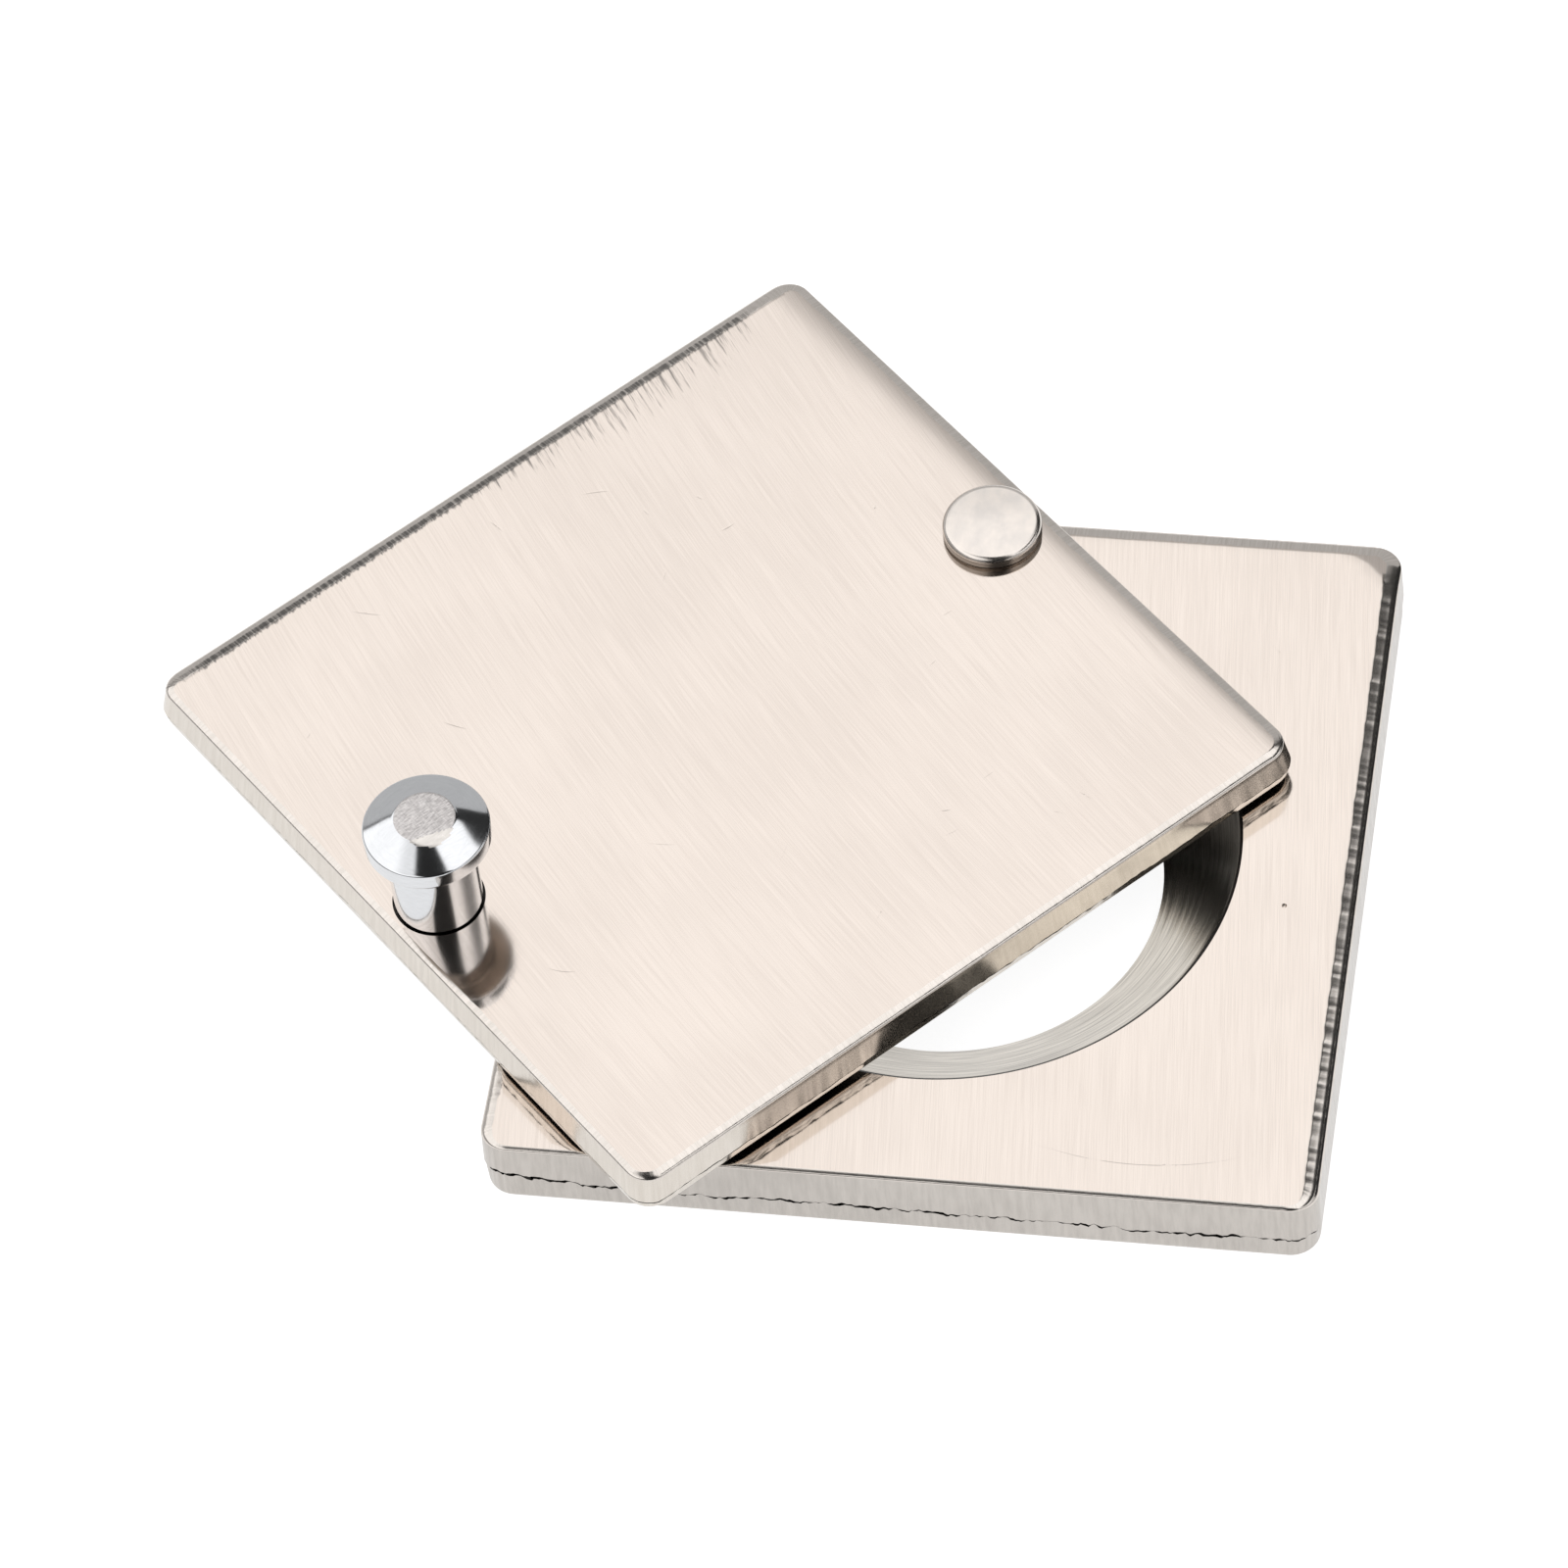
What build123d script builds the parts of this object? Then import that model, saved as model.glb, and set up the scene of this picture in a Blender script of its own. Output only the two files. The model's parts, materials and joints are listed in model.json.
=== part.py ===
from build123d import *
import os

os.makedirs("parts", exist_ok=True)

# A swing cover for a door viewer: a square base plate with a conical opening for the
# viewer, and a square cover plate that swings on one rivet to bare or hide the opening.
#
# The origin is the centre of the opening on the back face of the base plate.
# +Z points away from the door, and +Y points from the opening to the pivot.
# Lengths are in millimetres and angles in degrees.

# Plates
plate_side = 40.0
plate_corner_radius = 1.5
base_thickness = 3.9
cover_thickness = 2.2
face_edge_radius = 0.45
back_edge_radius = 0.15

# Opening for the viewer: a cone that ends in a short straight land at the back
opening_face_radius = 14.0
opening_back_radius = 10.2
opening_land_length = 0.6

# Pivot: a solid rivet, free to turn in the cover and peened into the base
pivot_offset = 17.0
rivet_head_radius = 2.45
rivet_head_height = 0.75
rivet_head_edge_radius = 0.3
rivet_shank_radius = 1.25
rivet_tail_radius = 2.1
rivet_tail_depth = 0.9

# Spacer washer, which keeps the cover off the base
plate_gap = 0.4
washer_radius = 2.6

# Pull knob, turned in one piece and peened into the cover
knob_offset = 17.0
knob_stem_radius = 2.15
knob_stem_length = 4.75
knob_stem_chamfer = 0.15
knob_head_radius = 3.07
knob_rim_height = 0.95
knob_rim_low_radius = 0.25
knob_rim_high_radius = 0.15
knob_crown_height = 0.62
knob_crown_bulge = 0.06
knob_flat_radius = 1.43
knob_shank_radius = 1.25
knob_tail_radius = 1.95
knob_tail_depth = 0.7

# Clearances, measured on the radius or along Z
running_clearance = 0.05
end_clearance = 0.05
peened_clearance = 0.02

# Swing of the cover away from closed in the stored position, clockwise from the front
stored_swing = 43.8

# Heights that follow from the stack of plates
cover_back = base_thickness + plate_gap
cover_face = cover_back + cover_thickness


def turned(profile):
    """The solid that a closed profile in X and Z makes when it turns about Z."""
    return revolve(make_face(Plane.XZ * profile), Axis.Z)


def square_plate(thickness):
    """A plate on Z = 0 with round corners, a rolled face edge and a tumbled back edge."""
    outline = RectangleRounded(plate_side, plate_side, plate_corner_radius)
    plate = extrude(outline, thickness)
    plate = fillet(plate.faces().sort_by(Axis.Z)[-1].edges(), face_edge_radius)
    return fillet(plate.faces().sort_by(Axis.Z)[0].edges(), back_edge_radius)


def peened_hole(shank_radius, tail_radius, tail_depth, thickness):
    """The space for a peened shank: a countersink that rises from Z = 0 into a bore."""
    profile = Polyline(
        (0, 0),
        (tail_radius + peened_clearance, 0),
        (shank_radius + peened_clearance, tail_depth),
        (shank_radius + peened_clearance, thickness),
        (0, thickness),
        close=True,
    )
    return turned(profile)


def make_base_plate():
    opening = Polyline(
        (0, 0),
        (opening_back_radius, 0),
        (opening_back_radius, opening_land_length),
        (opening_face_radius, base_thickness),
        (0, base_thickness),
        close=True,
    )
    rivet_hole = peened_hole(
        rivet_shank_radius, rivet_tail_radius, rivet_tail_depth, base_thickness
    )
    plate = square_plate(base_thickness)
    return plate - turned(opening) - Pos(0, pivot_offset) * rivet_hole


def make_cover_plate():
    """The cover in its closed place over the opening."""
    bore_radius = rivet_shank_radius + running_clearance
    bore = Cylinder(bore_radius, cover_thickness, align=(Align.CENTER, Align.CENTER, Align.MIN))
    knob_hole = peened_hole(
        knob_shank_radius, knob_tail_radius, knob_tail_depth, cover_thickness
    )
    plate = square_plate(cover_thickness)
    plate = plate - Pos(0, pivot_offset) * bore - Pos(0, -knob_offset) * knob_hole
    return Pos(0, 0, cover_back) * plate


def make_pivot_rivet():
    """A flat-headed rivet whose head stands just clear of the cover."""
    head_seat = cover_face + end_clearance
    head_top = head_seat + rivet_head_height
    edge = rivet_head_edge_radius
    shoulder = Polyline(
        (0, head_top),
        (0, 0),
        (rivet_tail_radius, 0),
        (rivet_shank_radius, rivet_tail_depth),
        (rivet_shank_radius, head_seat),
        (rivet_head_radius, head_seat),
        (rivet_head_radius, head_top - edge),
    )
    round_edge = RadiusArc(
        (rivet_head_radius, head_top - edge), (rivet_head_radius - edge, head_top), -edge
    )
    top = Line((rivet_head_radius - edge, head_top), (0, head_top))
    return Pos(0, pivot_offset) * turned(shoulder + round_edge + top)


def make_spacer_washer():
    inner_radius = rivet_shank_radius + running_clearance
    thickness = plate_gap - end_clearance
    ring = extrude(Circle(washer_radius) - Circle(inner_radius), thickness)
    return Pos(0, pivot_offset, base_thickness) * ring


def make_pull_knob():
    """The knob in its closed place, with its shank and tail inside the cover."""
    rim_low = knob_stem_length
    rim_high = rim_low + knob_rim_height
    crown_radius = knob_head_radius - knob_rim_high_radius
    crown_base = rim_high + knob_rim_high_radius
    crown_top = crown_base + knob_crown_height
    tail_end = -cover_thickness
    stem = Polyline(
        (0, crown_top),
        (0, tail_end),
        (knob_tail_radius, tail_end),
        (knob_shank_radius, tail_end + knob_tail_depth),
        (knob_shank_radius, 0),
        (knob_stem_radius - knob_stem_chamfer, 0),
        (knob_stem_radius, knob_stem_chamfer),
        (knob_stem_radius, rim_low),
        (knob_head_radius - knob_rim_low_radius, rim_low),
    )
    low_edge = RadiusArc(
        (knob_head_radius - knob_rim_low_radius, rim_low),
        (knob_head_radius, rim_low + knob_rim_low_radius),
        -knob_rim_low_radius,
    )
    rim = Line((knob_head_radius, rim_low + knob_rim_low_radius), (knob_head_radius, rim_high))
    high_edge = RadiusArc(
        (knob_head_radius, rim_high), (crown_radius, crown_base), -knob_rim_high_radius
    )
    crown_middle = (
        (crown_radius + knob_flat_radius) / 2,
        (crown_base + crown_top) / 2 + knob_crown_bulge,
    )
    crown = ThreePointArc(
        (crown_radius, crown_base), crown_middle, (knob_flat_radius, crown_top)
    )
    flat = Line((knob_flat_radius, crown_top), (0, crown_top))
    profile = stem + low_edge + rim + high_edge + crown + flat
    return Pos(0, -knob_offset, cover_face) * turned(profile)


def swung(piece):
    """A piece of the cover, turned about the rivet from closed to the stored position."""
    pivot = Pos(0, pivot_offset)
    return pivot * Rot(0, 0, -stored_swing) * pivot.inverse() * piece


nodes = {
    "base_plate": make_base_plate(),
    "pivot_rivet": make_pivot_rivet(),
    "spacer_washer": make_spacer_washer(),
    "cover_plate": swung(make_cover_plate()),
    "pull_knob": swung(make_pull_knob()),
}

for name, solid in nodes.items():
    export_step(solid, f"parts/{name}.step")
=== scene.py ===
import json
import math
import random

import bpy
from mathutils import Matrix, Vector, noise
from mathutils.geometry import delaunay_2d_cdt


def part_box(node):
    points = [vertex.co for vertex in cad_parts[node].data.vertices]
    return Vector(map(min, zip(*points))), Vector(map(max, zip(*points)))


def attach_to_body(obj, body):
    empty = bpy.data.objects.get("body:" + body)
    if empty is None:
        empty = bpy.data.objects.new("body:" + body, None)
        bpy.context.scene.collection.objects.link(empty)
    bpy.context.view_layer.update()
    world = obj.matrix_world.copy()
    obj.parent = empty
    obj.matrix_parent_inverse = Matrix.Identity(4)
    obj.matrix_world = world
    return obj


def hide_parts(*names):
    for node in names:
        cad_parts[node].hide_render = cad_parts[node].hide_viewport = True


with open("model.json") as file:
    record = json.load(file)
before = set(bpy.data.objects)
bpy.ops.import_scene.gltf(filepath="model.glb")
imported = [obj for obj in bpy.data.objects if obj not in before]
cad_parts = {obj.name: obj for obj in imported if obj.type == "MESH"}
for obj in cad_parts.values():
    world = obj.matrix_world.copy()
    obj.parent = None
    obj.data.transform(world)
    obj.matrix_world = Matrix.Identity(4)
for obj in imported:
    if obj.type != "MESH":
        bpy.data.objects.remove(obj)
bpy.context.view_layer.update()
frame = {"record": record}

# Lengths in this script are in millimetres, like the drawing of the part, and become
# metres when a mesh, a bump or the camera is made.
MM = 0.001


def box_mm(node):
    low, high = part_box(node)
    return low / MM, high / MM


def middle(node):
    low, high = box_mm(node)
    return (low + high) / 2


# What the frame says
base_low, base_high = box_mm("base_plate")
cover_low, cover_high = box_mm("cover_plate")
rivet_low, rivet_high = box_mm("pivot_rivet")
washer_low, washer_high = box_mm("spacer_washer")
knob_low, knob_high = box_mm("pull_knob")
half_side = (base_high.x - base_low.x) / 2
rivet_axis = middle("pivot_rivet").xy
to_knob = middle("pull_knob").xy - rivet_axis
swing = math.atan2(to_knob.x, -to_knob.y)
rivet_head_radius = (rivet_high.x - rivet_low.x) / 2
washer_radius = (washer_high.x - washer_low.x) / 2
knob_head_radius = (knob_high.x - knob_low.x) / 2
viewer_bore = next(m for m in frame["record"]["mounts"] if m["name"] == "viewer_bore")
opening_back_radius = viewer_bore["dims"]["r_mm"]
opening_land = viewer_bore["dims"]["length_mm"]

# The cover and the knob are made closed over the opening, and then swung.
closed_knob_axis = (rivet_axis.x, rivet_axis.y - to_knob.length)

# Finer sizes that the frame doesn't say, from the drawing of the part
corner_radius = 1.5
back_edge_radius = 0.15
opening_face_radius = 14.0
rivet_shank_radius = 1.25
rivet_tail_radius = 2.1
rivet_tail_depth = 0.9
running_clearance = 0.05
peened_clearance = 0.02
knob_stem_radius = 2.15
knob_stem_length = 4.75
knob_shank_radius = 1.25
knob_tail_radius = 1.95
knob_tail_depth = 0.7

# Details that only this model has: how far the plates narrow towards their backs, the
# chamfer round the opening, and the groove in the cover round the foot of the knob
back_taper = 0.08
opening_lip_width = 0.15
opening_lip_depth = 0.1
knob_groove_radii = (2.08, 2.23)
knob_groove_depth = 0.3

# Steps along a side and round a corner of the plates, and round the turned shapes
SIDE_STEPS = 300
CORNER_STEPS = 24
OPENING_STEPS = 360
KNOB_HOLE_STEPS = 128
RIVET_HOLE_STEPS = 96
WASHER_STEPS = 128
LATHE_STEPS = 256


# ---------------------------------------------------------------- mesh building


class Shell:
    """The points and faces of one piece, with a brush coordinate at each face corner.

    The brush coordinate is (across, along) the tool marks, in millimetres.
    """

    def __init__(self):
        self.points = []
        self.faces = []
        self.brush = []
        self.slots = []
        self.painted_reflection = {}

    def ring(self, points):
        start = len(self.points)
        self.points.extend(Vector(p) for p in points)
        return list(range(start, len(self.points)))

    def face(self, corners, brush, slot):
        self.faces.append(corners)
        self.brush.extend(brush)
        self.slots.append(slot)

    def band(self, inner, outer, marks, slot_of):
        """Faces between two rings of the same length. marks(point, share) gives the brush
        coordinate of a point that is that share of the way round."""
        count = len(inner)
        for i in range(count):
            j = (i + 1) % count
            corners = [inner[i], outer[i], outer[j], inner[j]]
            shares = [i / count, i / count, (i + 1) / count, (i + 1) / count]
            brush = [marks(self.points[c], s) for c, s in zip(corners, shares)]
            self.face(corners, brush, slot_of(self.points[inner[i]]))

    def fill(self, outline, holes, loose, marks, slot, face_up):
        """Triangles inside a ring of points and outside the rings of its holes. They pass
        through the loose points that are clear of the holes."""
        margin = 0.06
        merged_within = 1e-7
        loops = [outline] + holes
        circles = [self.circle_round(hole) for hole in holes]
        indices = [i for loop in loops for i in loop]
        edges = []
        start = 0
        for loop in loops:
            count = len(loop)
            edges += [(start + i, start + (i + 1) % count) for i in range(count)]
            start += count
        indices += [i for i in loose if self.is_clear(self.points[i].xy, circles, margin)]
        flat = [self.points[i].xy for i in indices]
        found = delaunay_2d_cdt(flat, edges, [], 1, merged_within)
        source = [indices[origins[0]] for origins in found[3]]
        for triangle in found[2]:
            corners = [source[i] for i in triangle]
            centre = sum((self.points[c].xy for c in corners), Vector((0, 0))) / 3
            if not self.is_clear(centre, circles, 0):
                continue
            if not face_up:
                corners.reverse()
            self.face(corners, [marks(self.points[c], 0) for c in corners], slot)

    def is_clear(self, point, circles, margin):
        return all((point - centre).length > radius + margin for centre, radius in circles)

    def circle_round(self, ring):
        centre = sum((self.points[i].xy for i in ring), Vector((0, 0))) / len(ring)
        return centre, (self.points[ring[0]].xy - centre).length

    def cap(self, ring, height, marks, slot, face_up):
        """A fan of triangles from a ring to a point on its axis."""
        centre = self.circle_round(ring)[0]
        tip = self.ring([(centre.x, centre.y, height)])[0]
        for i, start in enumerate(ring):
            corners = [start, ring[(i + 1) % len(ring)], tip]
            if not face_up:
                corners.reverse()
            self.face(corners, [marks(self.points[c], i / len(ring)) for c in corners], slot)

    def piece(self, name, materials, place=Matrix.Identity(4), sharp_angle=32):
        """The finished object, moved to its place in the row frame."""
        mesh = bpy.data.meshes.new(name)
        mesh.from_pydata([place @ p * MM for p in self.points], [], self.faces)
        layer = mesh.uv_layers.new(name="brush")
        layer.data.foreach_set("uv", [x for pair in self.brush for x in pair])
        # The painted dark reflection, kept as a point attribute
        painted_reflection = mesh.attributes.new("painted_reflection", "FLOAT", "POINT")
        painted_reflection.data.foreach_set("value", [self.painted_reflection.get(i, 0.0) for i in range(len(self.points))])
        for material in materials:
            mesh.materials.append(material)
        mesh.polygons.foreach_set("material_index", self.slots)
        mesh.polygons.foreach_set("use_smooth", [True] * len(mesh.polygons))
        mesh.set_sharp_from_angle(angle=math.radians(sharp_angle))
        mesh.validate()
        mesh.update()
        piece = bpy.data.objects.new(name, mesh)
        bpy.context.scene.collection.objects.link(piece)
        return piece


def square_ring(half, corner):
    """Points round a square with round corners, anticlockwise."""
    points = []
    reach = half - corner
    for quarter in range(4):
        turn = Matrix.Rotation(quarter * math.pi / 2, 2)
        for i in range(SIDE_STEPS):
            points.append(turn @ Vector((half, reach * (2 * i / SIDE_STEPS - 1))))
        for i in range(CORNER_STEPS):
            angle = math.pi / 2 * i / CORNER_STEPS
            arc = Vector((math.cos(angle), math.sin(angle))) * corner
            points.append(turn @ (Vector((reach, reach)) + arc))
    return points


def round_ring(centre, radius, height, steps):
    angles = [2 * math.pi * i / steps for i in range(steps)]
    return [
        (centre[0] + radius * math.cos(a), centre[1] + radius * math.sin(a), height)
        for a in angles
    ]


def ripple(x, y, pitch, seed):
    """Smooth noise from -1 to 1, with waves about pitch millimetres long."""
    return noise.noise(Vector((x / pitch, y / pitch, seed)))


def ease(share):
    share = min(1, max(0, share))
    return share * share * (3 - 2 * share)


# ---------------------------------------------------------------- plates

# How far in from the outline the rows of loose points on a face lie
FACE_INSETS = (0.6, 0.72, 0.85, 1.0, 1.2, 1.45, 1.75, 2.1, 2.5, 3.0, 3.6, 4.4, 5.4, 6.5)

# The height and pitch of the waves that make the line of the crack
TEAR_WAVES = ((0.22, 5), (0.17, 1.3), (0.15, 0.4), (0.09, 0.17))

# The inside of the crack, from its upper edge down: how far down and how far inward, as
# shares of its gape
CRACK_OUTLINE = ((0.3, 1.3), (0.8, 1.2), (1.0, 0.25))

# The deepest that any face sags
MOST_SAG = 0.25


class Roll:
    """The rolled face edge along one side: its width, its depth, and how straight its
    slope is, from 0 for a round edge to 1 for a bevel."""

    def __init__(self, width, depth, slope):
        self.width = width
        self.depth = depth
        self.slope = slope


class Plate:
    """A blanked plate: brushed face, rolled face edge, sheared side and tumbled back.

    Above the crack the side is smooth. smooth_share is that part of its height, and lean is
    how far it leans outward on its way down. torn is how ragged and open the crack is, and
    wide_tear(x, y) says where it gapes wide. rolls are the edges on the right, far, left
    and near sides. sag(x, y) is how far the face has sunk, and painted_reflection(x, y) how
    much painted dark reflection it has.
    face_marks gives the brush coordinate on the face and the back.
    """

    # The crack's slot and the back's slot hold near-black painted shade.
    FACE, ROLL, EDGE, CRACK, BACK, BORE = range(6)

    def __init__(
        self, back, face, smooth_share, lean, torn, wide_tear, rolls, sag, painted_reflection, face_marks, seed
    ):
        self.shell = Shell()
        self.back = back
        self.face = face
        self.smooth_share = smooth_share
        self.lean = lean
        self.torn = torn
        self.wide_tear = wide_tear
        self.rolls = rolls
        self.sag = sag
        self.painted_reflection = painted_reflection
        self.face_marks = face_marks
        self.seed = seed
        self.rings = []
        self.loose = []
        self.outline = square_ring(half_side, corner_radius)
        inner = square_ring(half_side - 1, corner_radius - 1)
        self.normals = [(p - q).normalized() for p, q in zip(self.outline, inner)]

    def side_marks(self, point, share):
        perimeter = 8 * half_side
        return share * perimeter, point.z

    def add(self, points, slot):
        """The next ring down the outside, with a band of faces up to the last one."""
        ring = self.shell.ring(points)
        if self.rings:
            self.shell.band(self.rings[-1], ring, self.side_marks, lambda point: slot)
        self.rings.append(ring)

    # Records the painted dark reflection at these points.
    def mark_painted_reflection(self, indices):
        for index in indices:
            point = self.shell.points[index]
            self.shell.painted_reflection[index] = self.painted_reflection(point.x, point.y)

    def roll_at(self, normal):
        """The width, depth and slope of the roll where the outline faces that way."""
        right, far, left, near = self.rolls
        side = right if normal.x > 0 else left
        end = far if normal.y > 0 else near
        x, y = normal.x ** 2, normal.y ** 2
        width = side.width * x + end.width * y
        depth = side.depth * x + end.depth * y
        return width, depth, side.slope * x + end.slope * y

    def roll_point(self, p, normal, share):
        """A point of the rolled edge, from the crease at share 0 to the side at share 1."""
        raggedness = 0.065
        width, depth, slope = self.roll_at(normal)
        ragged = ripple(p.x, p.y, 0.2, self.seed) + ripple(p.x, p.y, 0.7, self.seed)
        ragged *= raggedness * width
        at = p - normal * (self.lean + (width + ragged) * (1 - share))
        rounded = 1 - math.sqrt(max(0, 1 - share ** 2))
        late_round = 1 - math.sqrt(max(0, 1 - share ** 5))
        bevel = slope * share + (1 - slope) * late_round
        profile = rounded + (bevel - rounded) * min(1, slope * 3)
        drop = (depth - self.sag(p.x, p.y)) * profile
        return at.x, at.y, self.face - self.sag(at.x, at.y) - drop

    def make_roll(self):
        """The rolled edge. It begins at a ragged crease, where the belt stopped."""
        steps = 14
        for step in range(steps + 1):
            share = math.sin(math.pi / 2 * step / steps)
            outline = zip(self.outline, self.normals)
            self.add([self.roll_point(p, normal, share) for p, normal in outline], Plate.ROLL)
            self.mark_painted_reflection(self.rings[-1])

    def make_face(self):
        """Loose points on the brushed face, clear of the rolled edge."""
        clearance = 0.12
        least_corner = 0.5
        for inset in FACE_INSETS:
            ring = square_ring(half_side - inset, max(least_corner, corner_radius - inset))
            kept = [
                (p.x, p.y, self.face - self.sag(p.x, p.y))
                for p, normal in zip(ring, self.normals)
                if inset > self.roll_at(normal)[0] + clearance
            ]
            indices = self.shell.ring(kept)
            self.mark_painted_reflection(indices)
            self.loose += indices

    def crack(self, outer):
        """The height of the crack's upper edge and the gape of the crack, under each point
        of the ring at the top of the side."""
        least_smooth = 0.2
        least_broken = 0.25
        least_below = 0.08
        wide_rise = 0.5
        full_gape = 0.36
        hairline = 0.08
        low = self.back + back_edge_radius
        heights, gapes = [], []
        for p in outer:
            x, y, seed = p.x, p.y, self.seed
            wide = self.wide_tear(x, y)
            tear = sum(rise * ripple(x, y, pitch, seed) for rise, pitch in TEAR_WAVES)
            middle_height = low + (p.z - low) * (1 - self.smooth_share)
            height = middle_height + (self.torn * tear + wide_rise * wide)
            heights.append(min(p.z - least_smooth, max(low + least_broken, height)))
            waves = ripple(x, y, 1.9, seed + 9) + ripple(x, y, 0.35, seed + 5)
            open_share = min(1, max(hairline, 0.5 + 0.9 * waves))
            gape_wide = (1.3 + 0.8 * ripple(x, y, 0.25, seed + 3)) * wide
            gape = full_gape * self.torn * (open_share + gape_wide)
            gapes.append(min(gape, heights[-1] - low - least_below))
        return heights, gapes

    def make_smooth_side(self, outer, heights):
        """The side above the crack, leaning outward and a little uneven."""
        steps = 6
        unevenness = 0.004
        for step in range(1, steps + 1):
            share = step / steps
            points = []
            for p, z in zip(outer, heights):
                wave = unevenness * ripple(p.x, p.y, 0.7, self.seed + 2)
                out = wave * math.sin(math.pi * share) + self.lean * share
                points.append((*(p.xy * (1 + out / half_side)), p.z + (z - p.z) * share))
            self.add(points, Plate.EDGE)

    def make_crack(self, outer, heights, gapes):
        # The crack is coloured near black as painted shade.
        for down, inward in CRACK_OUTLINE:
            points = [
                (*(p.xy * (1 + (self.lean - inward * gape) / half_side)), z - down * gape)
                for p, z, gape in zip(outer, heights, gapes)
            ]
            self.add(points, Plate.CRACK)

    def make_broken_side(self, outer, heights, gapes):
        """The side below the crack, grainy and narrowing towards the back."""
        steps = 5
        graininess = 0.012
        low = self.back + back_edge_radius
        crack_foot = CRACK_OUTLINE[-1][1]
        for step in range(1, steps + 1):
            share = step / steps
            points = []
            for p, z, gape in zip(outer, heights, gapes):
                x, y = p.x + 7 * share, p.y - 5 * share
                grain = graininess * ripple(x, y, 0.3, self.seed + 6)
                inward = crack_foot * gape * (1 - share) + grain * math.sin(math.pi * share)
                inward += back_taper * share - self.lean
                start = z - gape
                height = start + (low - start) * share
                points.append((*(p.xy * (1 - inward / half_side)), height))
            self.add(points, Plate.EDGE)

    def make_side(self):
        outer = [self.shell.points[i].copy() for i in self.rings[-1]]
        heights, gapes = self.crack(outer)
        self.make_smooth_side(outer, heights)
        self.make_crack(outer, heights, gapes)
        self.make_broken_side(outer, heights, gapes)

    def make_back_edge(self):
        """The small round edge of the back."""
        steps = 4
        for step in range(1, steps + 1):
            angle = math.pi / 2 * step / steps
            inset = back_taper + back_edge_radius * (1 - math.cos(angle))
            height = self.back + back_edge_radius * (1 - math.sin(angle))
            ring = square_ring(half_side - inset, corner_radius - inset)
            self.add([(p.x, p.y, height) for p in ring], Plate.EDGE)

    def scratch(self, centre, radius, start, end, depth):
        """An arc scratched into the face, as a shallow groove, from one angle to another in
        degrees. Its outermost rows keep the shading of the groove off the face round it."""
        step_length = 0.12
        half_width = 0.035
        outermost = 0.09
        steps = max(6, round(math.radians(end - start) * radius / step_length))
        for step in range(-1, steps + 2):
            share = step / steps
            angle = math.radians(start + (end - start) * share)
            deep = depth * max(0, math.sin(math.pi * share)) if 0 < share < 1 else 0
            for offset in (-outermost, -half_width, 0, half_width, outermost):
                x = centre[0] + (radius + offset) * math.cos(angle)
                y = centre[1] + (radius + offset) * math.sin(angle)
                drop = 0 if offset else deep
                self.loose += self.shell.ring([(x, y, self.face - self.sag(x, y) - drop)])

    def pit(self, x, y, radius):
        """A small round hollow in the face, inside a flat ring. Its rows are given by their
        radius and their depth, as shares of the pit's radius."""
        steps = 12
        for share, drop in ((1.4, 0), (1.0, 0), (0.7, 0.6), (0.3, 0.9)):
            ring = round_ring((x, y), radius * share, self.face - radius * drop, steps)
            self.loose += self.shell.ring(ring)

    def hair_scratches(self, count, seed):
        """Short fine scratches at random places on the face."""
        reach = 17
        chance = random.Random(seed)
        for _ in range(count):
            radius, start = chance.uniform(2, 9), chance.uniform(0, 360)
            x = chance.uniform(-reach, reach) - radius * math.cos(math.radians(start))
            y = chance.uniform(-reach, reach) - radius * math.sin(math.radians(start))
            spread = math.degrees(chance.uniform(0.4, 1.8) / radius)
            self.scratch((x, y), radius, start, start + spread, chance.uniform(0.004, 0.009))

    def make_outside(self):
        self.make_roll()
        self.make_face()
        self.make_side()
        self.make_back_edge()

    def bored(self, centre, sections, slots, steps):
        """A hole through the plate, from its ring in the face to its ring in the back.
        sections is a list of (radius, height), from the face down. slots are the material
        of the first band between two sections and that of the others."""
        rings = [self.shell.ring(round_ring(centre, r, z, steps)) for r, z in sections]
        lip, wall = slots
        for upper, lower in zip(rings, rings[1:]):
            slot = lip if upper is rings[0] else wall
            self.shell.band(upper, lower, bore_marks, lambda point: slot)
        return rings[0], rings[-1]

    def close(self, *holes):
        """The face and the back, each filled between the outline and the holes."""
        fronts = [front for front, back in holes]
        backs = [back for front, back in holes]
        self.shell.fill(self.rings[0], fronts, self.loose, self.face_marks, Plate.FACE, True)
        self.shell.fill(self.rings[-1], backs, [], self.face_marks, Plate.BACK, False)


def base_grooves(point, share):
    """Coordinates across and along the base's grooves, which lean a little."""
    lean = math.radians(5.5)
    across = point.x * math.cos(lean) + point.y * math.sin(lean)
    along = point.y * math.cos(lean) - point.x * math.sin(lean)
    return across, along


def cover_grooves(point, share):
    """Coordinates across and along the cover's grooves, which bow towards one side."""
    slant = 0.117
    bow = 0.00235
    return point.y + slant * point.x - bow * point.x ** 2, point.x


def bore_marks(point, share):
    """Marks that run round a bore, at the middle radius of the opening."""
    slope_length = 1.5
    middle_radius = 12
    return point.z * slope_length, share * 2 * math.pi * middle_radius


def edge_sag(x, y, side, width, depth):
    """How far the face has sunk near one side of the plate, given by its direction."""
    inset = half_side - (x * side[0] + y * side[1])
    return depth * max(0, 1 - inset / width) ** 2


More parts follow.
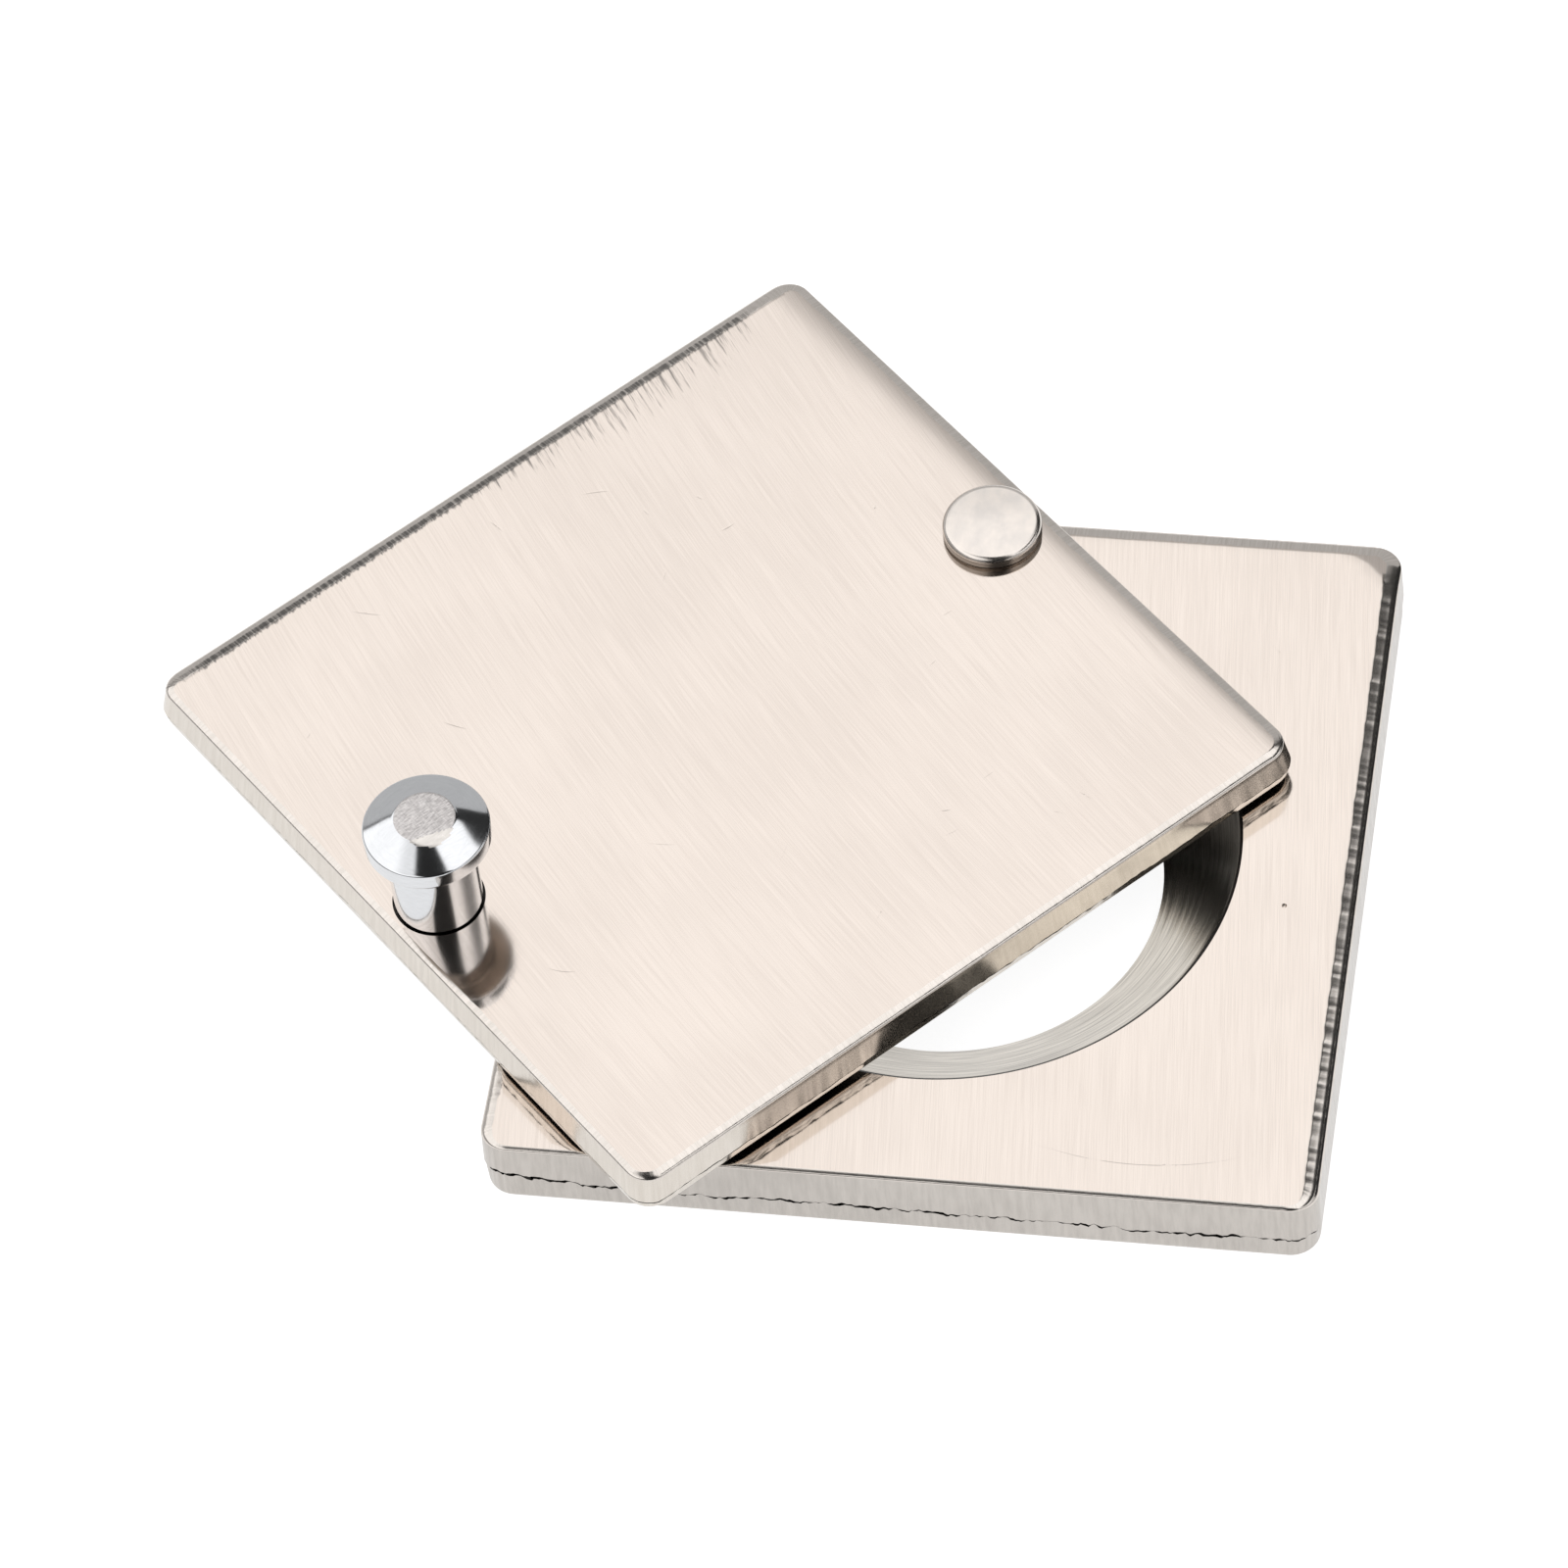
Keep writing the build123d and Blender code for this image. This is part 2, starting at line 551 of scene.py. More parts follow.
def base_sag(x, y):
    """The base has sunk a little along its far side, and more at its far right corner."""
    corner_reach = 4.2
    corner_depth = 0.5
    corner = max(0, 1 - (2 * half_side - x - y) / corner_reach)
    far_side = edge_sag(x, y, (0, 1), width=1.3, depth=0.05)
    return min(MOST_SAG, far_side + corner_depth * corner ** 2)


def cover_sag(x, y):
    """The cover has sunk along its pivot side, and a little along its knob side."""
    pivot_side = edge_sag(x, y, (0, 1), width=2.3, depth=0.2)
    knob_side = edge_sag(x, y, (0, -1), width=1.5, depth=0.05)
    return min(MOST_SAG, max(pivot_side, knob_side))


def nowhere(x, y):
    return 0.0


def base_wide_tear(x, y):
    """Up to 1 at the left end of the near side of the base, where the crack gapes."""
    left_end = ease((6 - half_side - x) / 8)
    near_side = ease((2 - half_side - y) / 2)
    return left_end * near_side


def cover_painted_reflection(x, y):
    """Painted dark reflection: a dark line at the crease of the cover's left side. Beside
    the top corner it spreads into streaks."""
    inset = half_side + x
    past_roll = ease((inset - 0.6) / 0.12)
    line = past_roll * ease(1 - (inset - 1.05) / 0.45)
    reach = 0.6 + 5.2 * ease((y + 4) / 12) * ease((19 - y) / 6)
    streaks = 0.76 * ease(1 - (inset - 0.9) / reach) * past_roll
    return max(line * ease((y + 20) / 3), streaks) * ease((18.5 - y) / 3)


def opening_sections(rise):
    """The outline of the opening: a lip, a turned cone, a straight land and a back edge."""
    steps = 36
    chatter = 0.006
    back_chamfer = 0.1
    cone_top = rise - opening_lip_depth
    sections = [
        (opening_face_radius + opening_lip_width, rise),
        (opening_face_radius, cone_top),
    ]
    for step in range(1, steps + 1):
        share = step / steps
        mark = chatter * noise.noise(Vector((step * 0.73, 0, 0)))
        radius = opening_face_radius + (opening_back_radius - opening_face_radius) * share
        sections.append((radius + mark, cone_top + (opening_land - cone_top) * share))
    sections.append((opening_back_radius, back_edge_radius))
    sections.append((opening_back_radius + back_chamfer, 0))
    return sections


def make_base_plate(materials):
    plate = Plate(
        back=base_low.z,
        face=base_high.z,
        smooth_share=0.62,
        lean=0.06,
        torn=1.0,
        wide_tear=base_wide_tear,
        rolls=(
            Roll(0.75, 0.42, 0.42),
            Roll(0.8, 0.42, 0.5),
            Roll(0.6, 0.35, 0.4),
            Roll(0.22, 0.14, 0.3),
        ),
        sag=base_sag,
        painted_reflection=nowhere,
        face_marks=base_grooves,
        seed=1.7,
    )
    plate.scratch(centre=(11.1, -2.7), radius=15.3, start=-115, end=-64, depth=0.010)
    plate.pit(16.5, -2.5, radius=0.13)
    plate.hair_scratches(count=16, seed=4)
    plate.make_outside()
    rise = base_high.z - base_low.z
    # The lip of the opening is coloured near black as painted shade.
    opening = plate.bored(
        (0, 0), opening_sections(rise), (Plate.CRACK, Plate.BORE), OPENING_STEPS
    )
    shank_bore = rivet_shank_radius + peened_clearance
    rivet_sections = [
        (shank_bore, rise),
        (shank_bore, rivet_tail_depth),
        (rivet_tail_radius + peened_clearance, 0),
    ]
    rivet_hole = plate.bored(
        rivet_axis, rivet_sections, (Plate.EDGE, Plate.EDGE), RIVET_HOLE_STEPS
    )
    plate.close(opening, rivet_hole)
    return plate.shell.piece("brushed_base_plate", materials)


def swung():
    """The move of the cover's pieces from closed over the opening to where they are."""
    pivot = Matrix.Translation(rivet_axis.to_3d())
    return pivot @ Matrix.Rotation(swing, 4, "Z") @ pivot.inverted()


def knob_hole_sections():
    """The groove round the foot of the knob, and the peened hole inside it."""
    wall_slope = 0.02
    inner, outer = knob_groove_radii
    groove_floor = cover_high.z - knob_groove_depth
    shank_bore = knob_shank_radius + peened_clearance
    return [
        (outer + wall_slope, cover_high.z),
        (outer, groove_floor),
        (inner, groove_floor),
        (inner - wall_slope, cover_high.z),
        (shank_bore, cover_high.z),
        (shank_bore, cover_low.z + knob_tail_depth),
        (knob_tail_radius + peened_clearance, cover_low.z),
    ]


def make_cover_plate(materials):
    plate = Plate(
        back=cover_low.z,
        face=cover_high.z,
        smooth_share=0.74,
        lean=0.22,
        torn=0.4,
        wide_tear=nowhere,
        rolls=(
            Roll(0.4, 0.3, 0.5),
            Roll(0.5, 0.3, 0.2),
            Roll(0.85, 0.42, 0.35),
            Roll(0.35, 0.22, 0.3),
        ),
        sag=cover_sag,
        painted_reflection=cover_painted_reflection,
        face_marks=cover_grooves,
        seed=5.3,
    )
    plate.hair_scratches(count=26, seed=11)
    plate.make_outside()
    pivot_bore = rivet_shank_radius + running_clearance
    pivot_sections = [(pivot_bore, cover_high.z), (pivot_bore, cover_low.z)]
    pivot_hole = plate.bored(
        rivet_axis, pivot_sections, (Plate.EDGE, Plate.EDGE), RIVET_HOLE_STEPS
    )
    # The groove round the knob is coloured near black as painted shade.
    knob_hole = plate.bored(
        closed_knob_axis, knob_hole_sections(), (Plate.CRACK, Plate.CRACK), KNOB_HOLE_STEPS
    )
    plate.close(pivot_hole, knob_hole)
    return plate.shell.piece("brushed_cover_plate", materials, swung())


# ---------------------------------------------------------------- turned pieces


def arc_sections(centre, radius, start, end, steps):
    """(radius, height) along an arc, angles in degrees from the outward direction."""
    angles = [math.radians(start + (end - start) * i / steps) for i in range(steps + 1)]
    return [(centre[0] + radius * math.cos(a), centre[1] + radius * math.sin(a)) for a in angles]


def turn_marks(point, share):
    """Marks that run round a turned piece."""
    usual_radius = 3
    return point.z, share * 2 * math.pi * usual_radius


def flat_marks(point, share):
    return point.x, point.y


def one_slot(point):
    return 0


def turned(centre, sections, top, crown_depth, slot_of, shape=Vector):
    """The shell of a closed piece turned on a lathe, from its lowest section to its top.
    shape(point) moves its points, and the marks on its crown are straight."""
    shell = Shell()
    rings = []
    for radius, height in sections:
        ring = round_ring(centre, radius, height, LATHE_STEPS)
        rings.append(shell.ring([shape(Vector(point)) for point in ring]))
    for lower, upper in zip(rings, rings[1:]):
        height = shell.points[lower[0]].z
        marks = flat_marks if height > top - crown_depth else turn_marks
        shell.band(upper, lower, marks, slot_of)
    first, last = shell.points[rings[0][0]], shell.points[rings[-1][0]]
    shell.cap(rings[0], first.z, flat_marks, slot_of(first), False)
    shell.cap(rings[-1], top, flat_marks, slot_of(last), True)
    return shell


def make_rivet(materials):
    """The rivet, with a low dome on its head. Its materials are that of the head's top and
    that of everything below the head's round edge."""
    seat = cover_high.z + running_clearance
    low_edge = 0.1
    edge = 0.3
    dome_height = 0.05
    edge_top = rivet_high.z - dome_height
    sections = [
        (rivet_tail_radius, rivet_low.z),
        (rivet_shank_radius, rivet_low.z + rivet_tail_depth),
        (rivet_shank_radius, seat),
        (rivet_head_radius - low_edge, seat),
        (rivet_head_radius, seat + low_edge),
    ]
    sections += arc_sections((rivet_head_radius - edge, edge_top - edge), edge, 0, 78, 10)
    rim_radius, rim_height = sections[-1]
    steps = 20
    for step in range(1, steps):
        share = step / steps
        rise = ease(share) ** 0.6
        height = rim_height + (rivet_high.z - rim_height) * rise
        sections.append((rim_radius * (1 - share), height))
    peened, side = range(2)
    top_starts = edge_top - edge + 0.05

    def slot_of(point):
        return side if point.z < top_starts else peened

    shell = turned(rivet_axis, sections, rivet_high.z, crown_depth=0.2, slot_of=slot_of)
    return shell.piece("domed_pivot_rivet", materials)


def make_washer(materials):
    inner = rivet_shank_radius + running_clearance
    edge = 0.05
    shell = Shell()
    outline = [
        (inner, washer_low.z + edge),
        (inner + edge, washer_low.z),
        (washer_radius - edge, washer_low.z),
        (washer_radius, washer_low.z + edge),
        (washer_radius, washer_high.z - edge),
        (washer_radius - edge, washer_high.z),
        (inner + edge, washer_high.z),
        (inner, washer_high.z - edge),
    ]
    rings = [shell.ring(round_ring(rivet_axis, r, z, WASHER_STEPS)) for r, z in outline]
    for lower, upper in zip(rings, rings[1:] + rings[:1]):
        shell.band(upper, lower, turn_marks, one_slot)
    return shell.piece("nylon_spacer_washer", materials)


def knob_sections():
    """The knob's outline from its peened tail up its stem, round its head and up to a point
    above its crown, before the crown is ground."""
    foot_edge = 0.15
    root = 0.12
    low_edge = 0.25
    high_edge = 0.15
    crown_height = 0.62
    crown_bulge = 0.04
    point_height = 0.55
    foot = cover_high.z + foot_edge
    rim_low = cover_high.z + knob_stem_length
    crown_base = knob_high.z - crown_height
    sections = [
        (knob_tail_radius, knob_low.z),
        (knob_shank_radius, knob_low.z + knob_tail_depth),
        (knob_shank_radius, cover_high.z),
        (knob_stem_radius - foot_edge, cover_high.z),
        (knob_stem_radius, foot),
    ]
    stem_steps = 12
    for step in range(1, stem_steps + 1):
        height = foot + (rim_low - root - foot) * step / stem_steps
        sections.append((knob_stem_radius, height))
    sections.append((knob_stem_radius + root, rim_low))
    low_centre = (knob_head_radius - low_edge, rim_low + low_edge)
    sections += arc_sections(low_centre, low_edge, -90, 0, 8)
    high_centre = (knob_head_radius - high_edge, crown_base - high_edge)
    sections += arc_sections(high_centre, high_edge, 0, 70, 8)
    crown_radius, crown_start = sections[-1]
    crown_steps = 30
    for step in range(1, crown_steps):
        share = step / crown_steps
        bulge = crown_bulge * math.sin(math.pi * min(1, share * 1.5))
        height = crown_start + (knob_high.z + point_height - crown_start) * share
        sections.append((crown_radius * (1 - share), height + bulge))
    return sections


def ground(point):
    """The crown's tip is ground to a flat, with a second facet to one side of it."""
    facet_angle = math.radians(-20)
    facet_start = 1.0
    facet_slope = 0.12
    facet_toward = Vector((math.cos(facet_angle), math.sin(facet_angle)))
    out = (point.xy - Vector(closed_knob_axis)).dot(facet_toward)
    top = min(knob_high.z, knob_high.z - facet_slope * (out - facet_start))
    return Vector((point.x, point.y, min(point.z, top)))


def make_knob(materials):
    """The knob. Its materials are those of the polished metal, the flat, the facet and the
    underside of the head."""
    polished, flat, facet, underside = range(4)
    near = 0.004

    def slot_of(point):
        if point.z > knob_high.z - near:
            return flat
        above = point + Vector((0, 0, 1))
        if (ground(above) - point).length < near:
            return facet
        is_underside = abs(point.z - cover_high.z - knob_stem_length) < 0.05
        return underside if is_underside else polished

    shell = turned(
        closed_knob_axis,
        knob_sections(),
        knob_high.z,
        crown_depth=0.3,
        slot_of=slot_of,
        shape=ground,
    )
    return shell.piece("turned_pull_knob", materials, swung(), sharp_angle=24)


# ---------------------------------------------------------------- materials


class Nodes:
    """Short ways to add and link the nodes of one tree."""

    def __init__(self, tree):
        self.tree = tree
        tree.nodes.clear()

    def add(self, kind, inputs=None, **settings):
        node = self.tree.nodes.new(kind)
        for name, value in settings.items():
            setattr(node, name, value)
        for socket, value in (inputs or {}).items():
            self.set(node.inputs[socket], value)
        return node

    def set(self, socket, value):
        if isinstance(value, bpy.types.NodeSocket):
            self.tree.links.new(value, socket)
        else:
            socket.default_value = value

    def math(self, operation, a, b):
        return self.add("ShaderNodeMath", {0: a, 1: b}, operation=operation).outputs[0]

    def vector(self, operation, a, b):
        node = self.add("ShaderNodeVectorMath", {0: a, 1: b}, operation=operation)
        return node.outputs["Value" if operation == "DOT_PRODUCT" else "Vector"]

    def range(self, value, low, high, to_low=0.0, to_high=1.0):
        """A value from low to high, eased to one from to_low to to_high."""
        inputs = {0: value, 1: low, 2: high, 3: to_low, 4: to_high}
        node = self.add("ShaderNodeMapRange", inputs, interpolation_type="SMOOTHSTEP")
        return node.outputs[0]

    def mix(self, factor, a, b):
        node = self.add("ShaderNodeMix", data_type="RGBA")
        for index, value in ((0, factor), (6, a), (7, b)):
            self.set(node.inputs[index], value)
        return node.outputs[2]

    def weighed(self, a, share_a, b, share_b):
        a = self.math("MULTIPLY", a, share_a)
        b = self.math("MULTIPLY", b, share_b)
        return self.math("ADD", a, b)

    def bump(self, height, strength, depth):
        """A normal from a height that goes from 0 to 1 over that depth."""
        inputs = {"Strength": strength, "Distance": depth * MM, "Height": height}
        return self.add("ShaderNodeBump", inputs).outputs[0]

    def noise(self, coordinates, scale, detail=2.0, roughness=0.5):
        """Noise on coordinates that are first stretched by scale, a number per axis."""
        stretched = self.vector("MULTIPLY", coordinates, scale)
        inputs = {"Vector": stretched, "Scale": 1.0, "Detail": detail, "Roughness": roughness}
        return self.add("ShaderNodeTexNoise", inputs).outputs[0]


def principled(name, inputs):
    """A material with one Principled shader, and its node helper."""
    material = bpy.data.materials.new(name)
    material.use_nodes = True
    nodes = Nodes(material.node_tree)
    shader = nodes.add("ShaderNodeBsdfPrincipled", inputs)
    output = nodes.add("ShaderNodeOutputMaterial")
    nodes.set(output.inputs["Surface"], shader.outputs[0])
    return material, nodes, shader


def grey(level):
    return (level, level, level, 1)


class Finish:
    """How a metal is coloured and marked. Its colour varies from light to dark. The fine
    and coarse marks are given by (width, length), and depth is how deep they are.
    painted_reflection_colour is the colour of its streaks of painted dark reflection."""

    def __init__(self, light, dark, roughness, anisotropy, fine, coarse, depth, painted_reflection_colour=None):
        self.light = (*light, 1)
        self.dark = (*dark, 1)
        self.roughness = roughness
        self.anisotropy = anisotropy
        self.fine = fine
        self.coarse = coarse
        self.depth = depth
        self.painted_reflection_colour = painted_reflection_colour


# The near-black colour of the painted dark reflection on the cover's left edge
DARK_REFLECTION_COLOUR = (0.12, 0.115, 0.11, 1)

FINISHES = {
    # The faces of both plates
    "brushed_nickel": Finish(
        light=(0.80, 0.715, 0.65), dark=(0.715, 0.635, 0.575),
        roughness=0.1, anisotropy=0.8, fine=(0.05, 4), coarse=(0.2, 9), depth=0.0003,
        painted_reflection_colour=DARK_REFLECTION_COLOUR,
    ),
    # The edge that the die rolled over
    "rolled_nickel": Finish(
        light=(0.82, 0.76, 0.71), dark=(0.70, 0.65, 0.60),
        roughness=0.16, anisotropy=0.2, fine=(0.1, 1), coarse=(0.4, 2), depth=0.0006,
        painted_reflection_colour=DARK_REFLECTION_COLOUR,
    ),
    # The base's side, with faint upright streaks, darker than the cover's side as painted shade
    "sheared_nickel_painted_shade": Finish(
        light=(0.64, 0.60, 0.56), dark=(0.54, 0.505, 0.47),
        roughness=0.2, anisotropy=0.3, fine=(0.3, 3), coarse=(0.8, 2), depth=0.0008,
    ),
    # The cover's side, which is brighter than the base's
    "burnished_nickel": Finish(
        light=(0.82, 0.765, 0.70), dark=(0.735, 0.68, 0.615),
        roughness=0.18, anisotropy=0.3, fine=(0.3, 3), coarse=(0.8, 2), depth=0.0008,
    ),
    # Near-black painted shade in the crack along the sides, the lip of the opening and the
    # groove round the knob
    "painted_shade_nickel": Finish(
        light=(0.08, 0.074, 0.068), dark=(0.02, 0.019, 0.018),
        roughness=0.3, anisotropy=0.0, fine=(0.12, 0.2), coarse=(0.3, 0.3), depth=0.01,
    ),
    # The backs of the plates, which face the door and each other, near black as painted shade
    "painted_shade_steel": Finish(
        light=(0.07, 0.067, 0.064), dark=(0.035, 0.033, 0.031),
        roughness=0.42, anisotropy=0.3, fine=(0.2, 6), coarse=(0.7, 5), depth=0.003,
    ),
    # The wall of the opening, turned and then plated
    "turned_nickel": Finish(
        light=(0.90, 0.84, 0.75), dark=(0.38, 0.35, 0.31),
        roughness=0.12, anisotropy=0.6, fine=(0.07, 4), coarse=(0.25, 7), depth=0.0006,
    ),
    # The top of the rivet's head
    "peened_nickel": Finish(
        light=(0.85, 0.78, 0.72), dark=(0.76, 0.71, 0.67),
        roughness=0.2, anisotropy=0.2, fine=(0.9, 1.5), coarse=(0.8, 0.9), depth=0.0006,
    ),
    # The underside of both heads and the rivet's shank, with turning marks, darkened as painted
    # shade
    "painted_shade_underside": Finish(
        light=(0.40, 0.355, 0.315), dark=(0.27, 0.24, 0.21),
        roughness=0.35, anisotropy=0.5, fine=(0.08, 2), coarse=(0.3, 3), depth=0.002,
    ),
    # The stem, rim and crown of the knob
    "polished_chrome": Finish(
        light=(0.82, 0.83, 0.85), dark=(0.76, 0.77, 0.79),
        roughness=0.11, anisotropy=0.3, fine=(0.06, 0.6), coarse=(0.3, 1.2), depth=0.0003,
    ),
    # The flat ground on the crown, hatched by the wheel
    "ground_chrome": Finish(
        light=(0.80, 0.765, 0.75), dark=(0.42, 0.395, 0.39),
        roughness=0.34, anisotropy=0.2, fine=(0.07, 0.35), coarse=(0.5, 0.05), depth=0.004,
    ),
    # The second facet of the crown
    "faced_chrome": Finish(
        light=(0.84, 0.80, 0.76), dark=(0.74, 0.70, 0.66),
        roughness=0.3, anisotropy=0.3, fine=(0.08, 0.7), coarse=(0.3, 0.3), depth=0.002,
    ),
}


def painted_reflection_streaks(nodes, brush):
    """How much of the painted dark reflection shows: streaks that join where it is full."""
    unpainted_threshold = 0.84
    lowered_by = 0.52
    softness = 0.24
    opacity = 0.8
    painted_reflection = nodes.add("ShaderNodeAttribute", attribute_name="painted_reflection").outputs["Fac"]
    streak = nodes.noise(brush, (5.5, 0.3, 0), 3.0, 0.7)
    lowered = nodes.math("MULTIPLY", painted_reflection, lowered_by)
    threshold = nodes.math("SUBTRACT", unpainted_threshold, lowered)
    above = nodes.math("SUBTRACT", streak, threshold)
    return nodes.math("MULTIPLY", nodes.range(above, 0.0, softness), opacity)


def tool_marked(name):
    """The metal of a finish, with its marks along the brush coordinate and with streaks of
    painted dark reflection where the painted_reflection attribute has them."""
    variation = 0.12
    patches_per_metre = Vector((120, 120, 120))
    finish = FINISHES[name]
    settings = {"Metallic": 1.0, "Anisotropic": finish.anisotropy}
    material, nodes, shader = principled(name, settings)
    brush = nodes.add("ShaderNodeUVMap", uv_map="brush").outputs[0]
    position = nodes.add("ShaderNodeTexCoord").outputs["Object"]
    fine = nodes.noise(brush, (1 / finish.fine[0], 1 / finish.fine[1], 0), 3.0, 0.6)
    coarse = nodes.noise(brush, (1 / finish.coarse[0], 1 / finish.coarse[1], 0))
    patches = nodes.noise(position, patches_per_metre)
    marks = nodes.weighed(fine, 0.7, coarse, 0.3)
    shade = nodes.weighed(marks, 0.75, patches, 0.25)
    colour = nodes.mix(nodes.range(shade, 0.35, 0.65), finish.dark, finish.light)
    # Streaks of painted dark reflection, where the attribute for it is set
    if finish.painted_reflection_colour:
        colour = nodes.mix(painted_reflection_streaks(nodes, brush), colour, finish.painted_reflection_colour)
    nodes.set(shader.inputs["Base Color"], colour)
    roughest = finish.roughness * (1 + variation)
    smoothest = finish.roughness * (1 - variation)
    rough = nodes.range(marks, 0.3, 0.7, roughest, smoothest)
    nodes.set(shader.inputs["Roughness"], rough)
    tangent = nodes.add("ShaderNodeTangent", direction_type="UV_MAP", uv_map="brush")
    nodes.set(shader.inputs["Tangent"], tangent.outputs[0])
    nodes.set(shader.inputs["Normal"], nodes.bump(marks, 1.0, finish.depth))
    return material


def nylon():
    """Slightly grainy nylon that light enters a little way."""
    material, nodes, shader = principled("nylon", {"Subsurface Weight": 0.1, "IOR": 1.53})
    position = nodes.add("ShaderNodeTexCoord").outputs["Object"]
    grains_per_metre = Vector((4000, 4000, 4000))
    grain = nodes.noise(position, grains_per_metre, 3.0)
    colour = nodes.mix(grain, (0.52, 0.51, 0.48, 1), (0.66, 0.65, 0.61, 1))
    nodes.set(shader.inputs["Base Color"], colour)
    nodes.set(shader.inputs["Roughness"], nodes.range(grain, 0.3, 0.7, 0.38, 0.5))
    nodes.set(shader.inputs["Normal"], nodes.bump(grain, 0.4, 0.01))
    return material


# ---------------------------------------------------------------- studio

# The camera: where it looks from and the point it looks at
view_azimuth = math.radians(14.18)
view_elevation = math.radians(52.72)
view_roll = math.radians(7.30)
view_distance = 422.8
view_target = Vector((-8.46, 2.52, 4.0))
lens = 200.0

# The studio is turned to face the camera. Its directions are right, near and up.
studio_right = Vector((math.cos(view_azimuth), math.sin(view_azimuth), 0))
studio_near = Vector((math.sin(view_azimuth), -math.cos(view_azimuth), 0))

STAGE_STEPS = 96


def direction(right, near, up):
    """A unit vector of the row frame from one in the studio's directions."""
    return (studio_right * right + studio_near * near + Vector((0, 0, up))).normalized()


# The planes that panels lie on, one unit away: the direction to the plane, and those across
# and along it, in the studio's directions
PLANES = {
    "ceiling": ((0, 0, 1), (1, 0, 0), (0, 1, 0)),
    "back": ((0, -1, 0), (1, 0, 0), (0, 0, 1)),
    "left": ((-1, 0, 0), (0, 1, 0), (0, 0, 1)),
    "right": ((1, 0, 0), (0, 1, 0), (0, 0, 1)),
}

# Panels of light and shade round the object: the plane, the extent across and along it, the
# turn of those two directions in degrees, the radiance and the softness of the edges.
# A later panel hides an earlier one.
PANELS = {
    "back_wall": ("back", (-3.0, 0.9), (-0.3, 1.03), 0, 0.52, 0.04),
    "left_wall": ("left", (-0.6, 2.5), (0.05, 0.5), 0, 0.4, 0.1),
    "right_wall": ("right", (-0.1, 3.0), (0.1, 0.6), 0, 0.7, 0.1),
    "left_softbox_inner": ("ceiling", (-0.9, -0.24), (-1.35, 1.8), -5, 0.95, 0.03),
    "left_softbox_outer": ("ceiling", (-1.7, -0.5), (-1.35, 1.8), -5, 1.25, 0.12),
    "back_softbox": ("ceiling", (-1.1, 0.31), (-0.97, -0.27), 0, 1.2, 0.03),
    "back_softbox_end": ("ceiling", (-0.6, 0.2), (-1.1, -0.9), 0, 0.85, 0.12),
    "right_softbox": ("ceiling", (0.07, 1.6), (-0.23, 1.8), 30, 1.25, 0.03),
    "right_flag": ("ceiling", (0.71, 1.4), (-1.3, 0.7), 0, 0.03, 0.03),
    "left_beam": ("ceiling", (-1.8, -0.25), (-1.55, -1.36), 0, 0.04, 0.03),
}

ROOM_RADIANCE = 0.02


def panel_mask(nodes, ray, plane, across, along, turn, softness):
    """1 where the ray meets a panel, 0 elsewhere, with soft edges."""
    facing, first, second = (direction(*d) for d in PLANES[plane])
    rotation = Matrix.Rotation(math.radians(turn), 3, facing)
    ahead = nodes.math("MAXIMUM", nodes.vector("DOT_PRODUCT", ray, facing), 0.001)
    mask = None
    for axis, (low, high) in ((first, across), (second, along)):
        dot = nodes.vector("DOT_PRODUCT", ray, rotation @ axis)
        offset = nodes.math("DIVIDE", dot, ahead)
        for edge, sign in ((low, 1), (high, -1)):
            inside = nodes.range(offset, edge - softness * sign, edge + softness * sign)
            mask = nodes.math("MULTIPLY", mask, inside) if mask else inside
    return mask


def make_world():
    """Soft studio light: bright panels in a dark room."""
    world = bpy.data.worlds.new("studio")
    world.use_nodes = True
    nodes = Nodes(world.node_tree)
    ray = nodes.add("ShaderNodeTexCoord").outputs["Generated"]
    light = ROOM_RADIANCE
    for plane, across, along, turn, radiance, softness in PANELS.values():
        mask = panel_mask(nodes, ray, plane, across, along, turn, softness)
        inputs = {0: mask, 2: light, 3: radiance}
        light = nodes.add("ShaderNodeMix", inputs, data_type="FLOAT").outputs[0]
    background = nodes.add("ShaderNodeBackground", {"Color": (1, 1, 1, 1), "Strength": light})
    output = nodes.add("ShaderNodeOutputWorld")
    nodes.set(output.inputs["Surface"], background.outputs[0])
    bpy.context.scene.world = world


def pale_surface(name, level, glow):
    """A matt grey that varies a little and glows white."""
    settings = {"Roughness": 0.9, "Specular IOR Level": 0.0, "Emission Strength": glow}
    material, nodes, shader = principled(name, settings)
    position = nodes.add("ShaderNodeTexCoord").outputs["Object"]
    clouds_per_metre = Vector((3, 3, 3))
    darker = 0.985
    cloud = nodes.noise(position, clouds_per_metre)
    colour = nodes.mix(cloud, grey(darker * level), grey(level))
    nodes.set(shader.inputs["Base Color"], colour)
    nodes.set(shader.inputs["Emission Color"], (1, 1, 1, 1))
    return material


def make_disc(name, radii, material):
    """A flat disc at Z = 0, of a middle and a ring round it."""
    shell = Shell()
    inner, outer = [shell.ring(round_ring((0, 0), r, 0, STAGE_STEPS)) for r in radii]
    shell.cap(inner, 0, turn_marks, 0, True)
    shell.band(outer, inner, turn_marks, one_slot)
    return shell.piece(name, [material])


def make_dome(radius, material):
    """Half a sphere over the origin, seen from inside."""
    steps = 24
    shell = Shell()
    rings = []
    for step in range(steps):
        angle = math.pi / 2 * step / steps
        ring = round_ring((0, 0), radius * math.cos(angle), radius * math.sin(angle), STAGE_STEPS)
        rings.append(shell.ring(ring))
    for lower, upper in zip(rings, rings[1:]):
        shell.band(lower, upper, turn_marks, one_slot)
    shell.cap(rings[-1], radius, turn_marks, 0, False)
    return shell.piece("studio_dome", [material])


